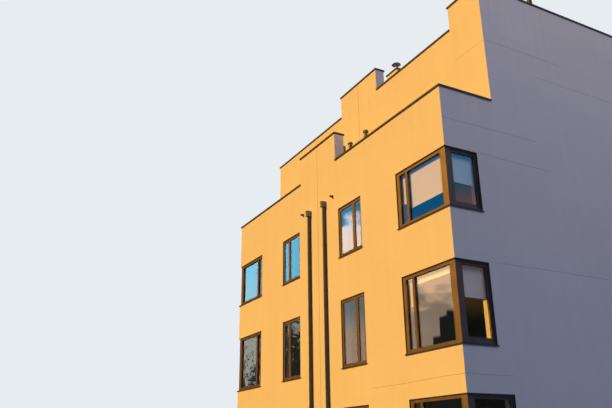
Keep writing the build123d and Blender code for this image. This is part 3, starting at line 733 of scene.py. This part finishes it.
def strips(low, high, offset, width, base, proud):
    """A bevelled strip round each pane: four points carried round its clear opening grown by an offset."""
    start, end, foot, head = (edge[:, None, None] for edge in pane_edges(low, high))
    start, end, foot, head = start - offset, end + offset, foot - offset, head + offset
    inset = width * np.array([0.0, 1.0, bevel_width, 0.0])
    out = base[:, None, None] + proud * np.array([0.0, 0.0, bevel_height, 1.0])
    side = np.where(corner_right[:, None], end - inset, start + inset)
    up = np.where(corner_upper[:, None], head - inset, foot + inset)
    return facing_out(points(side, out, up), low, high)


def drain_covers(low, high):
    """Two small covers under each pane, on the frame's face, as boxes with eased front edges."""
    start, end, foot = pane_edges(low, high)[:3]
    inset = (end - start) * drain_share
    middle = points(np.concatenate([start + inset, end - inset]), np.tile(foot - drain_drop, 2),
                    np.tile(face_distance(low, high), 2))
    half = np.array([drain_length / 2, drain_height / 2, 0.0])
    front = np.array([0.0, 0.0, drain_proud])
    rings = eased_boxes(middle - half, middle + half + front, drain_ease)[..., [0, 2, 1]]
    return facing_out(rings, np.tile(low, (2, 1)), np.tile(high, (2, 1)))


def black_rubber():
    """Matt black rubber, a little chalky in patches."""
    material, place = new_finish("black_rubber")
    chalk = clouds(place, 0.03, 4.0)
    return finished(material, dyed(chalk, rubber_black, rubber_chalk), 0.7, [(chalk, 0.0004)])


bronze_frame = coated_metal("bronze_frame", frame_dark, frame_light, 0.50, 0.85)
darken_linings(bronze_frame)
for name in frame_nodes:
    coat(name, bronze_frame)

pane_boxes = [loose_boxes(name) for name in glass_nodes]
pane_low = np.concatenate([box[0] for box in pane_boxes])
pane_high = np.concatenate([box[1] for box in pane_boxes])
rubber = black_rubber()
gasket_rings = strips(pane_low, pane_high, 0.0, gasket_width, np.zeros(len(pane_low)), gasket_depth)
joint_rings = strips(pane_low, pane_high, bead_width, bead_joint, face_distance(pane_low, pane_high),
                     bead_joint_proud)
set_in_place(skinned("glazing_gaskets", gasket_rings, looped=True), rubber)
set_in_place(skinned("bead_joints", joint_rings, looped=True), rubber)
set_in_place(skinned("drain_covers", drain_covers(pane_low, pane_high)), bronze_frame)


# Glass.
# Sealed double units with a neutral coating, which mirrors the sky at a slant and lets the rooms show
# darkly behind it.
glass_index = 1.75
glass_clear, glass_green = (0.93, 0.945, 0.945), (0.91, 0.935, 0.935)
glass_passes = (0.965, 0.975, 0.97)


def blend_of(share, first, second):
    """The first shader turning into the second as the share goes from 0 to 1."""
    return add_node(share, "ShaderNodeMixShader", {0: share, 1: first, 2: second}).outputs[0]


def coated_glass():
    """Clear float glass, slightly green. Lamps and light thrown back by walls go straight through."""
    material, place = new_finish("coated_glass")
    nodes = material.node_tree.nodes
    tint = dyed(clouds(place, 0.8, 2.0), glass_clear, glass_green)
    finished(material, tint, 0.0, [(clouds(place, 1.4, 1.0), 0.0012)],
             {"Transmission Weight": 1.0, "IOR": glass_index})
    ray = add_node(place, "ShaderNodeLightPath", {}).outputs
    straight = both(ray["Is Shadow Ray"], ray["Is Diffuse Ray"], "MAXIMUM")
    clear = add_node(place, "ShaderNodeBsdfTransparent", {"Color": glass_passes}).outputs[0]
    glass = nodes["Principled BSDF"].outputs[0]
    feed(nodes["Material Output"], {"Surface": blend_of(straight, glass, clear)})
    return material


float_glass = coated_glass()
for name in glass_nodes:
    coat(name, float_glass)


# Roller blinds.
# Off-white woven cloths hang behind the right unit's corner windows. Each is wound on a painted tube and
# weighted by a bar that is sewn into a pocket at its foot.
cloth_middle, cloth_half = -0.006, 0.0006
cloth_columns, cloth_rows = 25, 22
cloth_ripple, ripple_waves, ripple_lean = 0.0009, 1.5, 0.4
pocket_half, pocket_rise = 0.0060, 0.0125
pocket_points, pocket_gap = 15, 14
threads_per_metre = 180.0
cloth_white, cloth_slub = (0.93, 0.88, 0.82), (0.86, 0.81, 0.745)
tube_white, tube_dust = (0.74, 0.73, 0.71), (0.62, 0.61, 0.585)


def blind_rings(low, high):
    """Closed outlines across each cloth, one after the other from side to side.

    An outline runs down the cloth's front, round the pocket, which is an ellipse, and up its back. The
    cloth sways by a product of sines of its width and height.
    """
    start, end, foot, head = (edge[:, None, None] for edge in pane_edges(low, high))
    start, end = start - glass_bite, end + glass_bite
    foot, head = foot - glass_bite, head + glass_bite
    u = np.linspace(0, 1, cloth_columns)[:, None]
    fall, flat = np.linspace(0, 1, cloth_rows), np.zeros(cloth_rows)
    turn = np.radians(np.linspace(pocket_gap, 360 - pocket_gap, pocket_points))
    down = np.concatenate([fall, np.ones(pocket_points), fall[::-1]])
    dip = np.concatenate([flat, pocket_rise * (np.cos(turn) - 1), flat])
    side = np.concatenate([flat + cloth_half, pocket_half * np.sin(turn), flat - cloth_half])
    wave = np.sin(2 * math.pi * (ripple_waves * u + ripple_lean * down))
    sway = cloth_ripple * np.sin(math.pi * down) * wave
    up = head - down * (head - foot - 2 * pocket_rise) + dip
    across = start + u * (end - start)
    return facing_out(points(across, cloth_middle + side + sway, up), low, high)


def woven_cloth():
    """Plain weave in off-white yarn: two crossed rows of threads, and slubs that vary its shade."""
    material, place = new_finish("woven_cloth")
    threads = {"Vector": place, "Scale": threads_per_metre}
    warp = add_node(place, "ShaderNodeTexWave", threads, bands_direction="Z").outputs["Fac"]
    weft = clouds(drawn_out(place, (4.0, 4.0, 700.0)), 1.0, 2.0)
    slubs = clouds(drawn_out(place, (5.0, 5.0, 120.0)), 1.0, 3.0, 0.6)
    return finished(material, graded(slubs, 0.3, 0.7, cloth_white, cloth_slub), 0.95,
                    [(warp, 0.0002), (weft, 0.0003)], {"Specular IOR Level": 0.1, "Sheen Weight": 0.15})


def painted_aluminium():
    """White paint on drawn tube, a little dusty."""
    material, place = new_finish("painted_aluminium")
    dust = clouds(place, 0.06, 4.0)
    return finished(material, dyed(dust, tube_white, tube_dust), carried(dust, 0.2, 0.8, 0.35, 0.5),
                    [(dust, 0.0002)])


coat("blind_rollers", painted_aluminium())
cloth = woven_cloth()
cloth_low, cloth_high = loose_boxes("blind_cloths")
for i, rings in enumerate(blind_rings(cloth_low, cloth_high)):
    piece = set_in_place(skinned(f"blind_cloth_{i + 1}", rings[None], smooth=40), cloth)
    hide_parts("blind_cloths")


# Entrance doors.
# Flush leaves faced with dark stained oak boards and a brushed steel pull bar.
oak_dark, oak_light, oak_pores = (0.055, 0.040, 0.030), (0.115, 0.083, 0.060), (0.02, 0.015, 0.012)
steel_dark, steel_light = (0.52, 0.52, 0.51), (0.68, 0.68, 0.67)


def stained_oak():
    """Upright oak grain under a dark stain, with open pores."""
    material, place = new_finish("stained_oak")
    fibre = clouds(drawn_out(place, (26.0, 26.0, 1.1)), 1.0, 6.0, 0.65)
    pores = carried(clouds(drawn_out(place, (240.0, 240.0, 9.0)), 1.0, 2.0), 0.55, 0.75)
    colour = dyed(both(pores, 0.6), graded(fibre, 0.3, 0.7, oak_dark, oak_light), oak_pores)
    return finished(material, colour, carried(fibre, 0.2, 0.8, 0.38, 0.55),
                    [(fibre, 0.0008), (pores, 0.0005)])


def brushed_steel():
    """Stainless steel brushed along its length."""
    material, place = new_finish("brushed_steel")
    brushing = clouds(drawn_out(place, (900.0, 900.0, 6.0)), 1.0, 3.0)
    return finished(material, dyed(brushing, steel_dark, steel_light),
                    carried(brushing, 0.2, 0.8, 0.24, 0.40), [(brushing, 0.0001)], {"Metallic": 1.0})


coat("entrance_doors", stained_oak())
coat("entrance_handles", brushed_steel())


# Sills.
# Folded from the same bronze sheet as the copings and sloped to drain.
for name in ("ground_sills", "lower_sills", "upper_sills", "rear_sills"):
    coat(name, bronze_sheet)


# Rainwater goods.
# Round zinc pipes painted dark slate under square rainwater heads of bare weathered zinc, on brackets,
# with overflow spouts through the parapet.
slate_dark, slate_light = (0.045, 0.048, 0.066), (0.074, 0.077, 0.098)
zinc_dark, zinc_light = (0.17, 0.17, 0.18), (0.27, 0.27, 0.28)


def aged_zinc(name, dark, light):
    """Zinc with a satin coat: soft spangle, drip lines and dusty patches."""
    material, place = new_finish(name)
    drips = clouds(drawn_out(place, (14.0, 14.0, 0.6)), 1.0, 4.0, 0.6)
    patch = clouds(place, 0.25, 4.0)
    colour = graded(both(drips, patch), 0.12, 0.42, dark, light)
    return finished(material, colour, carried(patch, 0.2, 0.8, 0.34, 0.52),
                    [(patch, 0.0006), (clouds(place, 0.002, 1.0), 0.0002)])


pipe_paint = aged_zinc("pipe_paint", slate_dark, slate_light)
bare_zinc = aged_zinc("bare_zinc", zinc_dark, zinc_light)
for name in ("downpipe_right", "downpipe_left", "pipe_brackets", "overflow_spouts"):
    coat(name, pipe_paint)
for name in ("hopper_right", "hopper_left"):
    coat(name, bare_zinc)


# Vents, flues and chimney cowl.
# Painted steel vent pipes with caps on the terrace, dark coated flues on the roof, and a dull aluminium
# cowl, whose lens-shaped head turns the wind off the chimney's flue.
vent_dark, vent_light = (0.13, 0.115, 0.105), (0.24, 0.215, 0.20)


def painted_steel():
    """Grey-brown paint on steel, sooty in patches."""
    material, place = new_finish("painted_steel")
    soot = clouds(drawn_out(place, (6.0, 6.0, 1.5)), 1.0, 4.0)
    return finished(material, graded(soot, 0.3, 0.7, vent_dark, vent_light),
                    carried(soot, 0.2, 0.8, 0.35, 0.60), [(soot, 0.0006)])


coat("terrace_vents", painted_steel())
coat("roof_flues", bronze_sheet)
coat("chimney_cowl", aluminium)


# Studio floor, light and view.
# A pale floor, a low warm key light nearly from the front, a soft light high on the right, a weak one
# from behind, a dim blue light beside the gable, and a sky that only the glass mirrors.
floor_reach, floor_depth, floor_drop, floor_points = 260.0, 0.2, 0.001, 64
floor_throws, floor_glow = (0.05, 0.09, 0.20), (0.40, 0.42, 0.44)
floor_dark, floor_light = (0.16, 0.27, 0.46), (0.17, 0.285, 0.48)
backdrop_pale, mirror_dim = (0.80, 0.84, 0.88), (0.015, 0.018, 0.020)
dim_left, dim_right = (0.08, 0.11, 0.11), (0.055, 0.150, 0.39)
blue_deep, blue_clear = (0.02, 0.72, 1.75), (0.25, 1.35, 2.35)
blue_bright, blue_pale = (0.90, 3.20, 4.6), (1.70, 3.20, 4.0)
cloud_peach, cloud_white = (6.6, 5.2, 4.3), (5.1, 5.3, 5.8)
bank_brown, bank_glow, bank_grey = (2.05, 1.55, 1.18), (6.6, 4.2, 2.6), (0.95, 1.15, 1.15)
haze_warm, haze_grey, edge_dark = (2.35, 1.72, 1.20), (1.65, 1.66, 1.42), (0.07, 0.085, 0.07)
# Beside the gable: the ray's heights between which each colour takes over from the one below it.
side_dark = (0.03, 0.03, 0.02)
side_bands = [(0.18, 0.22, (0.55, 0.30, 0.06)), (0.28, 0.32, (0.98, 0.60, 0.66)),
              (0.345, 0.375, (0.02, 0.62, 1.05))]
# The eye's place, and its turn to +X from straight at the front, its climb and its roll in degrees.
eye_place = (18.569, -15.999, 1.6)
eye_turn, eye_climb, eye_roll = -61.57938, 20.67586, -0.60576
focal_length, sensor_width, far_clip = 39.15, 36.0, 1000.0


def studio_floor():
    """A wide flat disc whose edge lies far beyond the building."""
    turn = np.linspace(0, 2 * math.pi, floor_points, endpoint=False)
    level = np.array([-floor_depth, 0.0])[:, None] - floor_drop
    x, y = floor_reach * np.cos(turn), floor_reach * np.sin(turn)
    return skinned("studio_floor", points(x, y, level)[None])


def floor_paint():
    """Matt floor that looks neutral to the eye under the warm lamp and throws little light on walls."""
    material, place = new_finish("floor_paint")
    seen = add_node(place, "ShaderNodeLightPath", {}).outputs["Is Camera Ray"]
    tone = dyed(seen, floor_throws, dyed(clouds(place, 4.0, 2.0), floor_dark, floor_light))
    return finished(material, tone, 0.9, [], {"Emission Color": floor_glow, "Emission Strength": seen,
                                              "Specular IOR Level": 0.0})


def lamp(name, strength, colour, angle, heading, height):
    """A distant soft lamp. Heading is where the light comes from, in degrees from the front towards +X."""
    light = bpy.data.lights.new(name, "SUN")
    light.energy = strength
    light.color = colour
    light.angle = math.radians(angle)
    turned = bpy.data.objects.new(name, light)
    turned.rotation_euler = (math.radians(90 - height), 0, math.radians(heading))
    bpy.context.scene.collection.objects.link(turned)


def softbox(name, power, colour, size, place, aim):
    """A square soft light at a place, turned towards the point that it is aimed at."""
    light = bpy.data.lights.new(name, "AREA")
    light.energy = power
    light.color = colour
    light.size = size
    box = bpy.data.objects.new(name, light)
    box.location = place
    box.visible_glossy = False
    away = Vector(place) - Vector(aim)
    box.rotation_euler = away.to_track_quat("Z", "Y").to_euler()
    bpy.context.scene.collection.objects.link(box)


def mirrored_sky(direction):
    """What the glass mirrors, by the height of the ray and by its slant, which is x over y.

    Before the front, from the foot up: a dark edge in steps that turns ragged to the left, haze, banks of
    cloud, and a deep blue sky with bright clouds, which pales to the left. Beside the gable, from the foot
    up: dark, amber, rose and blue bands.
    """
    height = axis_of(direction, 2)
    along = axis_of(direction, 1)
    slant = both(axis_of(direction, 0), along, "DIVIDE")
    leftwards = carried(slant, 1.60, 1.95)
    far_left = both(carried(slant, 2.12, 2.20), carried(height, 0.215, 0.275, 1.0, 0.1))
    squat = drawn_out(direction, (1.0, 1.0, 2.2))
    blue = dyed(leftwards, graded(slant, 1.32, 1.48, blue_deep, blue_clear), blue_bright)
    blue = dyed(far_left, blue, blue_pale)
    cover = added(clouds(squat, 0.10, 5.0, 0.55), carried(height, 0.300, 0.325, 0.45, 0.04),
                  carried(height, 0.345, 0.370, 0.0, -0.30), carried(slant, 1.440, 1.465, -0.42, 0.0),
                  both(leftwards, -0.85))
    tops = graded(height, 0.30, 0.33, cloud_peach, cloud_white)
    cloudy = graded(cover, 0.47, 0.60, blue, tops)
    tilted = added(height, both(slant, -0.2))
    bright = added(clouds(squat, 0.045, 3.0, 0.5), carried(tilted, -0.042, -0.018, -0.10, 0.20))
    banks = graded(slant, 1.36, 1.42, graded(bright, 0.44, 0.68, bank_brown, bank_glow), bank_grey)
    banks = graded(height, 0.165, 0.20, dyed(leftwards, haze_warm, haze_grey), banks)
    lift = added(height, both(leftwards, 0.07), carried(slant, 1.30, 1.38, -0.04, 0.0))
    lower = graded(lift, 0.24, 0.29, banks, cloudy)
    steps = carried(both(slant, 0.028, "SNAP"), 1.17, 1.25, 0.187, 0.11)
    uneven = clouds(drawn_out(direction, (1.0, 1.0, 0.0)), 0.03, 1.0)
    ragged = added(carried(clouds(direction, 0.007, 5.0, 0.85), 0.36, 0.64, -0.06, 0.06),
                   carried(slant, 2.06, 2.24, 0.070, 0.000))
    edge = added(steps, both(uneven, 0.012), both(ragged, leftwards))
    front = graded(both(edge, height, "SUBTRACT"), -0.002, 0.002, lower, edge_dark)
    side = side_dark
    for low, high, colour in side_bands:
        side = graded(height, low, high, side, colour)
    return graded(along, -0.05, 0.05, front, side)


def studio_world():
    """A plain pale backdrop for the eye, a dim light that is blue beside the gable, a sky for mirrors."""
    world = bpy.data.worlds.new("studio")
    bpy.context.scene.world = world
    world.use_nodes = True
    nodes = world.node_tree.nodes
    direction = nodes.new("ShaderNodeTexCoord").outputs["Generated"]
    ray = add_node(direction, "ShaderNodeLightPath", {}).outputs
    dim = graded(axis_of(direction, 0), 0.0, 0.7, dim_left, dim_right)
    dim = dyed(ray["Is Glossy Ray"], dim, mirror_dim)
    ambient, sky, backdrop = (add_node(direction, "ShaderNodeBackground", {"Color": colour}).outputs[0]
                              for colour in (dim, mirrored_sky(direction), backdrop_pale))
    sharp = both(ray["Is Singular Ray"], carried(ray["Is Transmission Ray"], 0.0, 1.0, 1.0, 0.0))
    mirror = blend_of(sharp, ambient, sky)
    feed(nodes["World Output"], {"Surface": blend_of(ray["Is Camera Ray"], mirror, backdrop)})


def eye_level_camera():
    """A view from eye height before the right front corner, turned left and tilted up."""
    turn, climb, roll = (math.radians(angle) for angle in (eye_turn, eye_climb, eye_roll))
    ahead = np.array([math.sin(turn) * math.cos(climb), math.cos(turn) * math.cos(climb), math.sin(climb)])
    level = np.array([math.cos(turn), -math.sin(turn), 0.0])
    upright = np.cross(level, ahead)
    right = math.cos(roll) * level + math.sin(roll) * upright
    up = math.cos(roll) * upright - math.sin(roll) * level
    lens = bpy.data.cameras.new("eye_level")
    lens.sensor_width = sensor_width
    lens.lens = focal_length
    lens.clip_end = far_clip
    eye = bpy.data.objects.new("eye_level", lens)
    eye.matrix_world = Matrix([*np.column_stack([right, up, -ahead, eye_place]).tolist(), (0, 0, 0, 1)])
    bpy.context.scene.collection.objects.link(eye)
    bpy.context.scene.camera = eye


stage_floor = studio_floor()
stage_floor.data.materials.append(floor_paint())
stage_floor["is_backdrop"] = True
lamp("warm_key", strength=4.15, colour=(1.0, 0.51, 0.052), angle=1.5, heading=-12.0, height=33.0)
softbox("high_side", power=1380.0, colour=(1.0, 0.80, 0.85), size=12.0, place=(24.0, -1.0, 27.0),
        aim=(6.6, 0.0, 10.0))
lamp("rear_fill", strength=0.6, colour=(0.78, 0.84, 1.0), angle=40.0, heading=170.0, height=40.0)
studio_world()
eye_level_camera()
bpy.context.scene.view_settings.view_transform = "Standard"

low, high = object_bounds()
